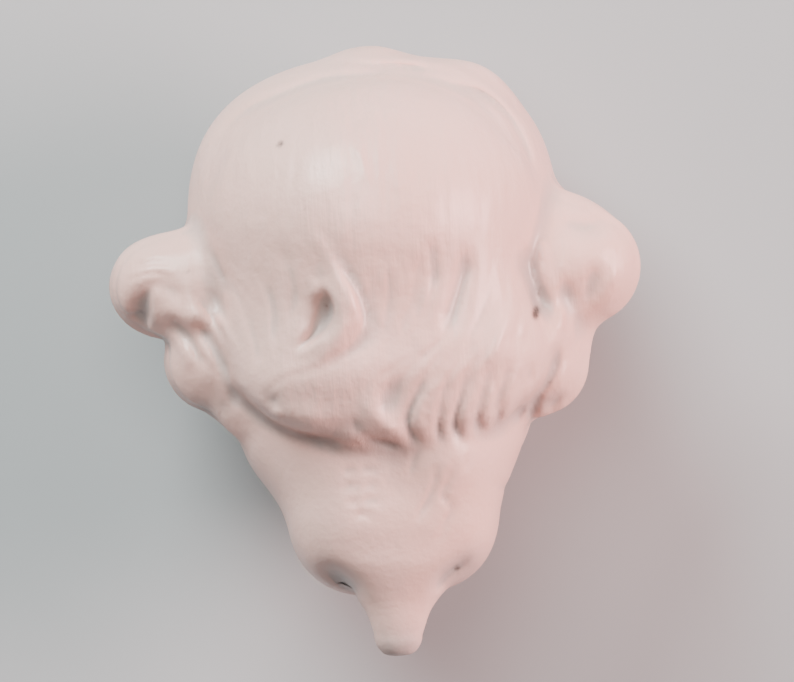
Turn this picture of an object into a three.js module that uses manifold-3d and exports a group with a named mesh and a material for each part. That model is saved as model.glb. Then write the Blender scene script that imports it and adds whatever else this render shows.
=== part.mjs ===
// Porcelain doll head, lying on its face.
// Millimetres. +Z goes up through the back of the head, +Y towards the crown,
// and +X to the right of a viewer who looks down on the back of the head.
// The head is one form function: below zero inside the porcelain, above zero outside.
// A fine icosahedron is drawn in onto its skin, and small flats are cut where it rests.

import * as THREE from "three";
import { mergeVertices } from "three/addons/utils/BufferGeometryUtils.js";
import Module from "manifold-3d";

// Driving sizes
const CROWN_HALF_WIDTH = 12.0;
const CROWN_TOP = 16.8;
const TONGUE_END = -23.5;
const REST_DEPTH = 13.95;
const FIRST_DETAIL = 10;
const FIRST_ROUNDS = 90;
const FINE_ROUNDS = 20;
const STILL_BELOW = -21;
const OFF_SKIN_COST = 5;
const GLAZE_WHITE = "#e9e2dd";

// Skull and hair masses: centre and half sizes of rounded forms, with their squareness
const CRANIUM = { centre: [0, 5.2, 0.5], half: [CROWN_HALF_WIDTH - 0.5, 9.9, 12.0], power: 2 };
const BACK_HAIR = { centre: [0.4, -3.2, 3.1], half: [11.0, 8.6, 7.9], power: 2.3 };
const FRONT_HAIR = { centre: [0, 7.2, -5.0], half: [11.0, 7.6, 8.2], power: 2.2 };
const FRONT_WAVE = { centre: [5.0, 8.3, -7.0], half: [5.7, 5.6, 7.35], power: 2 };

// Where the carved hair ends: at the nape, and over the forehead
const NAPE_LINE = { x: 1.0, y: -9.7, reach: 11.0, climb: 4.2, power: 2.5 };
const BROW_LINE = { y: 6.6, reach: 9.0, fall: 6.4 };
const PARTING = { width: 1.0, depth: 1.0 };

// Roll of hair that arches over the head from side to side, seen past the crown from behind
const HAIR_ROLL = { y: 5.9, reachX: 8.1, reachY: 6.4, z: -2.3, radius: 3.4, swell: 0.7 };
const HAIR_PEAK = { centre: [0.2, 13.2, -2.6], half: [3.2, 3.4, 3.2], power: 2 };
const RIGHT_LOCK = { centre: [6.2, 12.2, -2.3], half: [3.1, 3.0, 3.2], power: 2 };
const ROLL_ENDS = THREE.MathUtils.degToRad(112);

// Side curls: rolls of hair that run from back to front over the ears
const CURLS = [
  { rear: [-14.25, 1.7, 0.8], front: [-12.4, 1.4, -5.0], rearRadius: 3.2, frontRadius: 3.0 },
  { rear: [-10.9, -3.4, 1.0], front: [-9.8, -3.5, -4.8], rearRadius: 3.3, frontRadius: 2.9 },
  { rear: [-8.8, -6.1, 1.6], front: [-8.4, -5.6, -3.0], rearRadius: 2.5, frontRadius: 2.2 },
  { rear: [13.5, 1.3, 0.8], front: [12.3, 1.4, -5.0], rearRadius: 3.85, frontRadius: 3.0 },
  { rear: [12.75, 3.4, -0.5], front: [11.6, 3.2, -4.5], rearRadius: 2.75, frontRadius: 2.4 },
  { rear: [11.3, -2.2, 0.8], front: [10.4, -2.2, -4.0], rearRadius: 2.8, frontRadius: 2.4 },
  { rear: [9.9, -4.8, 1.0], front: [9.6, -4.2, -4.8], rearRadius: 3.6, frontRadius: 2.9 },
];

// Hair that runs from the crown into the upper curls, mirrored
const CURL_ROOT = { centre: [11.5, 2.3, 0.9], half: [3.0, 2.8, 3.5], power: 2 };

// Slanting grooves that wind round the curls
const CURL_GROOVES = { spacing: 3.6, depth: 0.22 };

// Neck stub, the swelling under the hair at its right, its flare up to the hair, and the
// tongue below it
const NECK = { centre: [0.15, -12.4, 0.8], half: [7.1, 7.25, 6.9], power: 2.7 };
const NAPE_RISE = { centre: [3.8, -9.6, 2.2], half: [3.1, 4.2, 6.1], power: 2 };
const NECK_FLARE = { centre: [-0.15, -7.2, 0.2], half: [9.6, 7.5, 7.3], power: 2.2 };
const TONGUE = { root: [0.3, -17.2, 3.9], tip: [0, -22.05, 3.7], rootRadius: 3.1, tipRadius: 1.6 };
const TONGUE_FLATNESS = 0.8;

// Face, drawn for +X and mirrored
const FOREHEAD = { centre: [0, 3.5, -3.0], half: [9.4, 7.5, 8.6], power: 2 };
const JAW = { centre: [-0.1, -6.0, -4.6], half: [9.9, 9.7, 7.3], power: 2 };
const CHEEK = { centre: [4.8, -5.9, -7.4], half: [4.0, 4.0, 4.0], power: 2 };
const MUZZLE = { centre: [0, -8.6, -8.4], half: [3.5, 3.0, 3.6], power: 2 };
const CHIN = { centre: [0, -12.4, -8.9], half: [2.9, 2.6, 2.6], power: 2 };
const SOCKET = { centre: [4.1, -1.2, -12.4], half: [2.9, 2.2, 2.3], power: 2 };
const EYE = { centre: [4.1, -1.5, -8.7], half: [2.1, 2.1, 2.1], power: 2 };
const UPPER_LIP = { centre: [0.85, -8.5, -11.7], half: [1.4, 0.55, 0.7], power: 2 };
const LOWER_LIP = { centre: [0, -9.75, -11.6], half: [1.6, 0.7, 0.75], power: 2 };
const NOSE_BRIDGE = { point: [0, 0.2, -10.5], radius: 1.1 };
const NOSE_TIP = { point: [0, -4.9, -12.7], radius: 1.55 };
const NOSE_WING = { centre: [1.35, -5.5, -11.9], half: [0.9, 0.85, 0.9], power: 2 };

// How widely two forms run into each other where they meet
const BLEND = {
  nape: 2.5,
  hairEdge: 1.2,
  wave: 1.0,
  hairRoll: 3.4,
  curls: 1.2,
  curlRoot: 1.5,
  curlFoot: 2.6,
  hairline: 1.0,
  forehead: 4.0,
  cheek: 3.5,
  muzzle: 2.0,
  chin: 2.2,
  socket: 1.5,
  eye: 0.5,
  nose: 1.4,
  lips: 0.4,
  flare: 1.8,
  napeRise: 2.5,
  tongue: 1.8,
  throat: 1.6,
};

// Carved strokes on the back of the head: half width, depth (below zero for a raised strand)
// and the points that each runs through
const STROKES = [
  // Comma-shaped lock: its thin upper end, its body, the hollow inside it and the lock that hugs it
  { width: 0.5, depth: -0.14, through: [[-4.2, 4.8], [-3.4, 3.5], [-2.75, 2.1], [-2.2, 0.8]] },
  {
    width: 1.0,
    depth: -0.85,
    through: [[-2.9, 1.6], [-2.25, 0.2], [-2.1, -1.0], [-2.4, -1.9], [-3.3, -2.6], [-4.6, -3.2]],
  },
  {
    width: 0.5,
    depth: 0.8,
    through: [[-3.75, 0.6], [-3.55, -0.1], [-3.7, -0.9], [-4.2, -1.7], [-4.8, -2.4], [-5.3, -2.8]],
  },
  { width: 1.2, depth: 0.3, through: [[-4.3, 1.2], [-4.3, 0.0], [-4.8, -1.2]] },
  {
    width: 0.8,
    depth: -0.2,
    through: [[-5.0, 2.2], [-4.6, 0.6], [-4.8, -0.8], [-5.4, -1.9], [-6.4, -3.0]],
  },
  // Strands to its left
  {
    width: 0.45,
    depth: 0.08,
    through: [[-6.2, 4.2], [-5.75, 2.7], [-5.45, 1.2], [-5.45, 0.2], [-5.8, -1.2]],
  },
  { width: 0.45, depth: 0.08, through: [[-7.2, 1.6], [-6.9, 0.2], [-6.85, -1.0], [-7.2, -2.3]] },
  { width: 0.45, depth: 0.07, through: [[-8.5, 0.2], [-8.3, -1.4], [-8.15, -2.8], [-8.3, -3.8]] },
  { width: 0.5, depth: 0.06, through: [[-9.9, 2.5], [-9.2, 1.2], [-8.5, 0.2]] },
  { width: 0.5, depth: 0.08, through: [[-11.3, 1.2], [-10.5, 0.2], [-9.7, -1.2], [-9.3, -2.6]] },
  // Mass below it
  { width: 1.5, depth: -0.4, through: [[0.5, -3.9], [-3.0, -4.6], [-6.4, -4.8], [-9.0, -5.0]] },
  // Valley from the left curl to the nape, and the strands along it
  {
    width: 0.8,
    depth: 0.32,
    through: [
      [-12.0, -1.0], [-11.4, -1.9], [-10.7, -3.2],
      [-10.0, -4.6], [-9.2, -5.9], [-8.3, -6.9],
    ],
  },
  { width: 0.9, depth: -0.45, through: [[-12.9, 0.7], [-12.4, 0.0], [-11.9, -0.8]] },
  { width: 0.9, depth: -0.3, through: [[-13.0, 2.2], [-12.0, 0.9], [-11.0, -0.6], [-10.0, -2.4]] },
  {
    width: 0.9,
    depth: -0.45,
    through: [[-14.1, 0.8], [-13.5, 0.0], [-12.7, -1.0], [-11.8, -2.3], [-11.1, -3.5]],
  },
  { width: 1.1, depth: -0.35, through: [[-14.0, -0.2], [-13.3, -0.7], [-12.7, -1.4]] },
  {
    width: 0.5,
    depth: 0.25,
    through: [[-14.1, -0.5], [-13.3, -1.1], [-12.6, -2.0], [-12.1, -2.9], [-11.7, -3.8]],
  },
  { width: 0.5, depth: -0.25, through: [[-13.9, -1.2], [-13.1, -2.2], [-12.6, -3.4]] },
  // Right side
  {
    width: 0.6,
    depth: 0.42,
    through: [[6.0, 2.8], [5.7, 1.4], [5.3, 0.2], [4.85, -1.1], [4.4, -2.4]],
  },
  { width: 0.5, depth: 0.15, through: [[3.7, 3.6], [3.7, 2.0], [3.6, 0.4]] },
  {
    width: 1.2,
    depth: 0.38,
    through: [[9.6, 3.0], [9.8, 1.4], [10.1, 0.2], [10.5, -0.8], [10.7, -1.9]],
  },
  { width: 0.9, depth: -0.35, through: [[10.9, 2.2], [10.8, 1.0], [10.8, 0.2], [11.1, -0.6]] },
  { width: 0.9, depth: -0.35, through: [[8.6, -0.8], [8.0, -2.6], [7.0, -4.4]] },
  { width: 0.7, depth: -0.35, through: [[11.7, 0.8], [11.9, -0.8], [11.8, -2.8], [11.2, -4.6]] },
  // Hollows of the side curls
  { width: 0.75, depth: 0.9, through: [[-15.2, 1.3], [-15.6, 0.4], [-15.5, -0.7]] },
  { width: 0.7, depth: 0.5, through: [[14.5, 1.2], [14.1, 0.2], [13.7, -1.0]] },
  { width: 0.7, depth: 0.5, through: [[12.4, 0.3], [12.4, -0.3], [12.4, -1.0]] },
  { width: 0.75, depth: 0.45, through: [[12.4, 4.3], [13.4, 3.95], [14.6, 3.9], [15.4, 4.1]] },
  // Edge of the hair at the nape, and the small curl on it
  {
    width: 0.7,
    depth: 0.3,
    through: [[-9.2, -5.6], [-8.6, -6.5], [-7.6, -7.6], [-6.2, -8.4], [-4.6, -9.0], [-3.3, -9.5]],
  },
  { width: 0.8, depth: -0.2, through: [[-6.6, -6.6], [-5.4, -7.3], [-4.0, -7.6]] },
  { width: 0.6, depth: 0.15, through: [[-4.3, -8.4], [-3.2, -8.45], [-2.2, -8.2]] },
  { width: 0.5, depth: 0.15, through: [[-2.1, -7.8], [-1.6, -8.7], [-0.5, -9.2], [0.7, -9.6]] },
  { width: 0.6, depth: -0.24, through: [[-1.0, -6.4], [-0.8, -7.5], [-0.1, -8.2], [0.9, -8.75]] },
  { width: 0.85, depth: 0.55, through: [[1.0, -5.3], [0.7, -6.2], [0.35, -7.4]] },
  // Locks along it
  {
    width: 0.45,
    depth: 0.33,
    through: [[2.8, -5.2], [2.3, -6.1], [1.75, -7.1], [1.45, -8.1], [1.6, -8.9], [2.1, -9.6]],
  },
  {
    width: 0.42,
    depth: 0.28,
    through: [[4.4, -5.4], [3.95, -6.6], [3.55, -7.8], [3.45, -8.8], [3.6, -9.7]],
  },
  {
    width: 0.42,
    depth: 0.38,
    through: [[5.9, -5.0], [5.3, -6.1], [4.8, -7.3], [4.5, -8.5], [4.85, -9.6]],
  },
  {
    width: 0.5,
    depth: 0.3,
    through: [[7.3, -4.7], [6.8, -5.7], [6.3, -6.9], [6.0, -8.2], [6.0, -9.3]],
  },
  { width: 0.5, depth: 0.28, through: [[8.5, -4.6], [8.0, -5.7], [7.55, -7.0], [7.25, -8.5]] },
  { width: 0.45, depth: 0.28, through: [[9.9, -4.8], [9.5, -5.8], [8.9, -7.1], [8.4, -8.6]] },
  {
    width: 0.45,
    depth: 0.45,
    through: [[11.6, -3.9], [11.2, -5.2], [10.5, -6.5], [9.9, -7.3], [9.4, -8.3]],
  },
  { width: 0.4, depth: 0.3, through: [[11.7, -6.9], [11.2, -7.4], [10.6, -7.8]] },
  // Band above the tongue and creases beside it
  { width: 1.2, depth: 0.12, through: [[-4.4, -15.8], [0.2, -16.5], [5.0, -15.8]] },
  { width: 0.7, depth: 0.35, through: [[-4.6, -17.5], [-3.4, -18.2], [-2.4, -19.4]] },
  { width: 0.7, depth: 0.3, through: [[4.9, -17.5], [3.7, -18.2], [2.8, -19.2]] },
];

// Strands of the front hair from the parting outwards, drawn for +X and mirrored
const FRONT_FAN = {
  first: [[0.8, 9.6], [5.0, 8.6], [9.4, 3.6]],
  last: [[0.8, 13.8], [6.4, 12.6], [10.8, 7.4]],
  count: 3,
  width: 0.8,
  depth: 0.5,
};

// Carving of the face, drawn for +X and mirrored: lids, brow and mouth
const FACE_STROKES = [
  { through: [[2.2, -1.1], [4.1, 0.0], [6.0, -1.3]], width: 0.45, depth: 0.35 },
  { through: [[2.5, -2.3], [4.1, -2.75], [5.7, -2.3]], width: 0.45, depth: 0.3 },
  { through: [[1.8, 1.3], [4.2, 2.2], [6.8, 1.2]], width: 0.7, depth: -0.25 },
  { through: [[0.0, -9.2], [1.0, -9.12], [2.0, -9.0]], width: 0.6, depth: 0.35 },
];

// Depths at which the carving of the back and of the front fades out
const BACK_FADE = [-1, 2];
const FRONT_FADE = [-8, -5];

// Joins two forms with a rounded valley about as wide as blend.
function join(a, b, blend) {
  const near = Math.max(blend - Math.abs(a - b), 0) / blend;
  return Math.min(a, b) - (near * near * blend) / 4;
}

// Keeps what two forms share, with a rounded edge.
function common(a, b, blend) {
  return -join(-a, -b, blend);
}

// Takes form b out of form a, with a rounded edge.
function carve(a, b, blend) {
  return -join(-a, b, blend);
}

// Distance to an ellipsoid, or with a higher power to a squarer rounded form.
function rounded(p, { centre, half, power }) {
  let sum = 0;
  const q = [0, 0, 0];
  for (let i = 0; i < 3; i++) {
    q[i] = Math.abs(p[i] - centre[i]) / half[i] + 1e-6;
    sum += Math.pow(q[i], power);
  }
  const size = Math.pow(sum, 1 / power);
  let steep = 0;
  for (let i = 0; i < 3; i++) {
    steep += (Math.pow(q[i] / size, power - 1) / half[i]) ** 2;
  }
  return (size - 1) / Math.sqrt(steep);
}

// Distance to a straight roll whose radius changes from one end to the other.
function roll(p, start, end, startRadius, endRadius) {
  let along = 0;
  let whole = 0;
  for (let i = 0; i < 3; i++) {
    along += (p[i] - start[i]) * (end[i] - start[i]);
    whole += (end[i] - start[i]) ** 2;
  }
  const t = THREE.MathUtils.clamp(along / whole, 0, 1);
  const off = [0, 1, 2].map((i) => p[i] - THREE.MathUtils.lerp(start[i], end[i], t));
  return Math.hypot(...off) - THREE.MathUtils.lerp(startRadius, endRadius, t);
}

// Distance to the roll of hair that arches over the head.
function archedRoll(p) {
  const turn = Math.atan2(p[0] / HAIR_ROLL.reachX, (p[1] - HAIR_ROLL.y) / HAIR_ROLL.reachY);
  const angle = THREE.MathUtils.clamp(turn, -ROLL_ENDS, ROLL_ENDS);
  const x = HAIR_ROLL.reachX * Math.sin(angle);
  const y = HAIR_ROLL.y + HAIR_ROLL.reachY * Math.cos(angle);
  const radius = HAIR_ROLL.radius + HAIR_ROLL.swell * Math.sin(2 * angle) ** 2;
  return Math.hypot(p[0] - x, p[1] - y, p[2] - HAIR_ROLL.z) - radius;
}

function napeLine(x) {
  const off = Math.abs(x - NAPE_LINE.x) / NAPE_LINE.reach;
  return NAPE_LINE.y + NAPE_LINE.climb * Math.pow(off, NAPE_LINE.power);
}

function browLine(x) {
  return BROW_LINE.y - BROW_LINE.fall * (x / BROW_LINE.reach) ** 2;
}

function frontHair(p) {
  const mirrored = [Math.abs(p[0]), p[1], p[2]];
  const parting = PARTING.depth * Math.exp(-((p[0] / PARTING.width) ** 2));
  const mass = join(rounded(p, FRONT_HAIR), rounded(mirrored, FRONT_WAVE), BLEND.wave);
  return common(mass + parting, browLine(p[0]) - p[1], BLEND.hairEdge);
}

// A side curl: a roll with slanting grooves that fade out at its rear end.
function curlForm(p, { rear, front, rearRadius, frontRadius }) {
  const turn = Math.atan2(p[1] - rear[1], p[0] - rear[0]);
  const groove = Math.cos((2 * Math.PI * p[2]) / CURL_GROOVES.spacing + turn);
  const inFront = 1 - THREE.MathUtils.smoothstep(p[2], rear[2], rear[2] + 2);
  const form = roll(p, rear, front, rearRadius, frontRadius);
  return form + CURL_GROOVES.depth * groove * inFront;
}

function hair(p) {
  const nape = common(rounded(p, BACK_HAIR), napeLine(p[0]) - p[1], BLEND.hairEdge);
  let backRoll = join(archedRoll(p), rounded(p, HAIR_PEAK), BLEND.wave);
  backRoll = join(backRoll, rounded(p, RIGHT_LOCK), BLEND.wave);
  let form = join(rounded(p, CRANIUM), nape, BLEND.nape);
  form = join(form, frontHair(p), BLEND.wave);
  form = join(form, backRoll, BLEND.hairRoll);
  form = join(form, rounded([Math.abs(p[0]), p[1], p[2]], CURL_ROOT), BLEND.curlRoot);
  const curls = CURLS.map((curl) => curlForm(p, curl));
  return join(form, curls.reduce((a, b) => join(a, b, BLEND.curls)), BLEND.curlFoot);
}

function nose(p) {
  const ridge = roll(p, NOSE_BRIDGE.point, NOSE_TIP.point, NOSE_BRIDGE.radius, NOSE_TIP.radius);
  return join(ridge, rounded(p, NOSE_WING), BLEND.eye);
}

function face(p) {
  const mirrored = [Math.abs(p[0]), p[1], p[2]];
  let form = join(rounded(p, FOREHEAD), rounded(p, JAW), BLEND.forehead);
  form = join(form, rounded(mirrored, CHEEK), BLEND.cheek);
  form = join(form, rounded(p, MUZZLE), BLEND.muzzle);
  form = join(form, rounded(p, CHIN), BLEND.chin);
  form = carve(form, rounded(mirrored, SOCKET), BLEND.socket);
  form = join(form, rounded(mirrored, EYE), BLEND.eye);
  form = join(form, nose(mirrored), BLEND.nose);
  form = join(form, rounded(mirrored, UPPER_LIP), BLEND.lips);
  return join(form, rounded(p, LOWER_LIP), BLEND.lips);
}

function neck(p) {
  const flat = [p[0], p[1], TONGUE.root[2] + (p[2] - TONGUE.root[2]) / TONGUE_FLATNESS];
  const tongue = roll(flat, TONGUE.root, TONGUE.tip, TONGUE.rootRadius, TONGUE.tipRadius);
  let stub = join(rounded(p, NECK), rounded(p, NECK_FLARE), BLEND.flare);
  stub = join(stub, rounded(p, NAPE_RISE), BLEND.napeRise);
  return join(stub, tongue * TONGUE_FLATNESS, BLEND.tongue);
}

// A stroke as a row of soft round dents along the curve through its points, seen from behind
// or in front of the head; the row starts and ends shallow.
function prepared({ through, width, depth }) {
  const curve = new THREE.SplineCurve(through.map((point) => new THREE.Vector2(...point)));
  const steps = Math.max(2, Math.ceil(curve.getLength() / (0.6 * width)));
  const spacing = curve.getLength() / steps;
  const points = curve.getSpacedPoints(steps);
  const dents = points.map((point, i) => {
    const share = i / steps;
    const taper = Math.min(1, 4 * Math.min(share, 1 - share) + 0.25);
    return { point, depth: (taper * depth * spacing) / (Math.sqrt(Math.PI) * width) };
  });
  const box = new THREE.Box2().setFromPoints(points).expandByScalar(width * 2.6);
  return { dents, box, width };
}

function fanStrokes({ first, last, count, width, depth }) {
  return Array.from({ length: count }, (_, n) => {
    const share = n / (count - 1);
    const through = first.map((point, i) =>
      point.map((v, k) => THREE.MathUtils.lerp(v, last[i][k], share)),
    );
    return { through, width, depth };
  });
}

const BACK_CARVING = STROKES.map(prepared);
const FRONT_CARVING = [...FACE_STROKES, ...fanStrokes(FRONT_FAN)].map(prepared);

function strokeDepth(place, { dents, box, width }) {
  if (!box.containsPoint(place)) return 0;
  let total = 0;
  for (const { point, depth } of dents) {
    total += depth * Math.exp(-place.distanceToSquared(point) / width ** 2);
  }
  return total;
}

function carving(p) {
  const place = new THREE.Vector2(p[0], p[1]);
  const backShare = THREE.MathUtils.smoothstep(p[2], ...BACK_FADE);
  const frontShare = 1 - THREE.MathUtils.smoothstep(p[2], ...FRONT_FADE);
  let depth = 0;
  if (backShare > 0) {
    for (const stroke of BACK_CARVING) depth += backShare * strokeDepth(place, stroke);
  }
  place.x = Math.abs(place.x);
  if (frontShare > 0) {
    for (const stroke of FRONT_CARVING) depth += frontShare * strokeDepth(place, stroke);
  }
  return depth;
}

function head(p) {
  const bare = join(join(face(p), neck(p), BLEND.throat), hair(p), BLEND.hairline);
  return Math.abs(bare) < 3 ? bare + carving(p) : bare;
}

// Uphill direction of the form function, with the slope as its length.
function slopeAt(p) {
  const step = 0.05;
  return [0, 1, 2].map((i) => {
    const ahead = [...p];
    const behind = [...p];
    ahead[i] += step;
    behind[i] -= step;
    return (head(ahead) - head(behind)) / (2 * step);
  });
}

// Where a direction of the icosahedron starts from and points to: the start slides down
// the neck for the lower directions, so that neck and tongue get their share of the skin.
function rayFor(direction) {
  const [top, foot, bend] = [[0, 3.5, 0], [0, -19.5, 3.4], -0.2];
  const fall = THREE.MathUtils.clamp((bend - direction.y) / (1 + bend), 0, 1);
  const start = top.map((v, i) => THREE.MathUtils.lerp(v, foot[i], Math.pow(fall, 0.75)));
  const y = direction.y > bend ? direction.y : THREE.MathUtils.lerp(bend, -1, Math.pow(fall, 3));
  const spread = Math.sqrt(1 - y * y) / (Math.hypot(direction.x, direction.z) || 1);
  return { start, aim: [direction.x * spread, y, direction.z * spread] };
}

// First point of the skin met on the way in along the ray.
function skinPoint({ start, aim }) {
  const pointAt = (distance) => start.map((v, i) => v + aim[i] * distance);
  let distance = 32;
  for (let i = 0; i < 200 && distance > 0; i++) {
    const gap = head(pointAt(distance));
    distance -= gap * 0.6;
    if (Math.abs(gap) < 1e-3) break;
  }
  return pointAt(Math.max(distance, 0));
}

// Moves a point along the slope until it lies on the skin.
function ontoSkin(p) {
  const slope = slopeAt(p);
  const steep = slope[0] ** 2 + slope[1] ** 2 + slope[2] ** 2 + 1e-6;
  const gap = THREE.MathUtils.clamp(head(p), -0.6, 0.6);
  return p.map((v, k) => v - (gap * slope[k]) / steep);
}

// How closely the points should lie: closest on nose and tongue, then on the face and the
// side curls, then on the carved hair.
function closeness([x, y, z]) {
  const aside = Math.abs(x);
  const onNose = z < -11 && aside < 2.4 && y < -2 && y > -7.5;
  const onFace = z < -8.5 && aside < 6.5 && y < 1 && y > -11.5;
  const onCarving = z > 0 && aside < 13 && y < 5 && y > -10.5;
  const onCurls = aside > 11.5 && y < 6 && y > -6;
  if (y < -18 || onNose) return 9;
  if (onFace || y < -14.5) return 5;
  if (onCarving) return 4.5;
  if (onCurls) return 5;
  return z < -7 || aside > 10.5 ? 2 : 0.7;
}

// Both triangles at each edge, each with its three corners turned so that the edge comes first.
function trianglesAtEdges(index) {
  const edges = new Map();
  index.forEach((corners, triangle) => {
    for (let i = 0; i < 3; i++) {
      const [a, b, c] = [corners[i], corners[(i + 1) % 3], corners[(i + 2) % 3]];
      const key = a < b ? a + "," + b : b + "," + a;
      if (!edges.has(key)) edges.set(key, []);
      edges.get(key).push({ triangle, a, b, c });
    }
  });
  return edges;
}

function normalOf(corners, points) {
  const [a, b, c] = corners.map((corner) => new THREE.Vector3(...points[corner]));
  return new THREE.Triangle(a, b, c).getNormal(new THREE.Vector3());
}

// How badly an edge lies: its length, and more for a middle that lies off the skin.
function badnessOf(a, b) {
  const middle = a.map((v, k) => (v + b[k]) / 2);
  return Math.hypot(...a.map((v, k) => v - b[k])) + OFF_SKIN_COST * Math.abs(head(middle));
}

// Swaps the edge between two triangles for their other diagonal where that lies better and
// doesn't fold the skin.
function betterEdges(points, index) {
  const swapped = [...index];
  const edges = trianglesAtEdges(index);
  const touched = new Set();
  for (const [one, other] of edges.values()) {
    const [a, b, c, d] = [one.a, one.b, one.c, other.c];
    if (touched.has(one.triangle) || touched.has(other.triangle)) continue;
    if (edges.has(c < d ? c + "," + d : d + "," + c)) continue;
    if (badnessOf(points[c], points[d]) > 0.95 * badnessOf(points[a], points[b])) continue;
    const before = normalOf([a, b, c], points).add(normalOf([b, a, d], points)).normalize();
    const after = [[a, d, c], [d, b, c]];
    if (after.some((corners) => normalOf(corners, points).dot(before) < 0.5)) continue;
    [swapped[one.triangle], swapped[other.triangle]] = after;
    touched.add(one.triangle).add(other.triangle);
  }
  return swapped;
}

function trianglesRound(index, count) {
  const around = Array.from({ length: count }, () => []);
  for (const corners of index) {
    for (const corner of corners) around[corner].push(corners);
  }
  return around;
}

// Middle of the triangles round a point, where larger and more wanted triangles count for more.
function middleOf(triangles, points) {
  const middle = new THREE.Vector3();
  const centre = new THREE.Vector3();
  let total = 0;
  for (const corners of triangles) {
    const triangle = new THREE.Triangle(...corners.map((c) => new THREE.Vector3(...points[c])));
    triangle.getMidpoint(centre);
    const weight = triangle.getArea() * closeness(centre.toArray());
    middle.addScaledVector(centre, weight);
    total += weight;
  }
  return middle.divideScalar(total || 1).toArray();
}

// Evens out the triangles in rounds: edges are swapped for better ones now and then, and each
// point goes to the middle of its triangles and then onto the skin.
function evenOut(points, index, rounds) {
  let placed = points;
  let triangles = index;
  for (let round = 0; round < rounds; round++) {
    if (round % 5 === 0) triangles = betterEdges(placed, triangles);
    const around = trianglesRound(triangles, placed.length);
    placed = placed.map((p, i) => (p[1] < STILL_BELOW ? p : ontoSkin(middleOf(around[i], placed))));
  }
  return [placed.map((p) => ontoSkin(ontoSkin(p))), triangles];
}

// Splits each triangle into four, with new points on the skin at the middle of each edge.
function splitTriangles(points, index) {
  const finer = [...points];
  const middles = new Map();
  const middle = (a, b) => {
    const key = a < b ? a + "," + b : b + "," + a;
    if (!middles.has(key)) {
      middles.set(key, finer.length);
      finer.push(ontoSkin(points[a].map((v, k) => (v + points[b][k]) / 2)));
    }
    return middles.get(key);
  };
  const split = index.flatMap(([a, b, c]) => {
    const [ab, bc, ca] = [middle(a, b), middle(b, c), middle(c, a)];
    return [[a, ab, ca], [ab, b, bc], [ca, bc, c], [ab, bc, ca]];
  });
  return [finer, split];
}

// The skin: an icosahedron drawn in onto the form, evened out, split finer and evened again.
function skinGeometry() {
  const sphere = new THREE.IcosahedronGeometry(1, FIRST_DETAIL);
  sphere.deleteAttribute("normal");
  sphere.deleteAttribute("uv");
  const coarse = mergeVertices(sphere, 1e-4);
  const place = coarse.getAttribute("position");
  let points = Array.from({ length: place.count }, (_, i) =>
    skinPoint(rayFor(new THREE.Vector3().fromBufferAttribute(place, i).normalize())),
  );
  let index = Array.from({ length: coarse.index.count / 3 }, (_, i) =>
    [0, 1, 2].map((k) => coarse.index.getX(3 * i + k)),
  );
  [points, index] = evenOut(points, index, FIRST_ROUNDS);
  [points, index] = splitTriangles(points, index);
  [points, index] = evenOut(points, index, FINE_ROUNDS);
  return new THREE.BufferGeometry()
    .setAttribute("position", new THREE.Float32BufferAttribute(points.flat(), 3))
    .setIndex(index.flat());
}

const wasm = await Module();
wasm.setup();

function solidOf(geometry) {
  const bare = geometry.clone();
  bare.deleteAttribute("normal");
  bare.deleteAttribute("uv");
  const merged = mergeVertices(bare, 1e-4);
  return new wasm.Manifold(
    new wasm.Mesh({
      numProp: 3,
      vertProperties: merged.getAttribute("position").array,
      triVerts: new Uint32Array(merged.index.array),
    }),
  );
}

function geometryOf(solid) {
  const mesh = solid.getMesh();
  return new THREE.BufferGeometry()
    .setAttribute("position", new THREE.BufferAttribute(mesh.vertProperties, 3))
    .setIndex(new THREE.BufferAttribute(mesh.triVerts, 1));
}

function block(centre) {
  return solidOf(new THREE.BoxGeometry(60, 60, 60).translate(...centre));
}

// The head with small flats on the front waves and the nose, where it rests, and a blunt
// end on the tongue.
function headGeometry() {
  const floor = block([0, 0, -REST_DEPTH - 30]);
  const belowTongue = block([0, TONGUE_END - 30, 0]);
  return geometryOf(solidOf(skinGeometry()).subtract(floor).subtract(belowTongue));
}

const porcelain = new THREE.MeshStandardMaterial({ color: GLAZE_WHITE, roughness: 0.2, metalness: 0 });
const dollHead = new THREE.Mesh(headGeometry(), porcelain);
dollHead.name = "doll_head";
dollHead.position.set(0, -(CROWN_TOP + TONGUE_END) / 2, REST_DEPTH);

const part = new THREE.Group();
part.add(dollHead);

export default part;
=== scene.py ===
import math

import bpy
import numpy as np
from mathutils import Euler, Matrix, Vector


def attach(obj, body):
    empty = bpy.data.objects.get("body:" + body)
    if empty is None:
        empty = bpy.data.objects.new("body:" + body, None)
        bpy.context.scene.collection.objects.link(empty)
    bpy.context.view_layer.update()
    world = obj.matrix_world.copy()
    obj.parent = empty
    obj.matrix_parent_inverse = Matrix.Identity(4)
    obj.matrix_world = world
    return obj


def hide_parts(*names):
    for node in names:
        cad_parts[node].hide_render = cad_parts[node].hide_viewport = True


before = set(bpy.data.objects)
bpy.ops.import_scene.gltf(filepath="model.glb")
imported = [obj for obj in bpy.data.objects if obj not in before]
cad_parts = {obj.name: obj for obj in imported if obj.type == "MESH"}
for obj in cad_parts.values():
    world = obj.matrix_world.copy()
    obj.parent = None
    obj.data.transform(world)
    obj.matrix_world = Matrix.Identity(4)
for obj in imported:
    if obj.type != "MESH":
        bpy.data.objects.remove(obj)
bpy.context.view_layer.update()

# Porcelain doll head, lying on its face. The form is worked out in millimetres in the head's
# own frame: x to the right of a viewer behind the head, y towards the crown, z towards that
# viewer. It is below zero inside the porcelain.

CROWN_TOP = 16.8
TONGUE_END = -23.5
REST_DEPTH = 13.95
SHIFT_Y = -(CROWN_TOP + TONGUE_END) / 2
MM = 0.001
TINY = 1e-6

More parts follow.
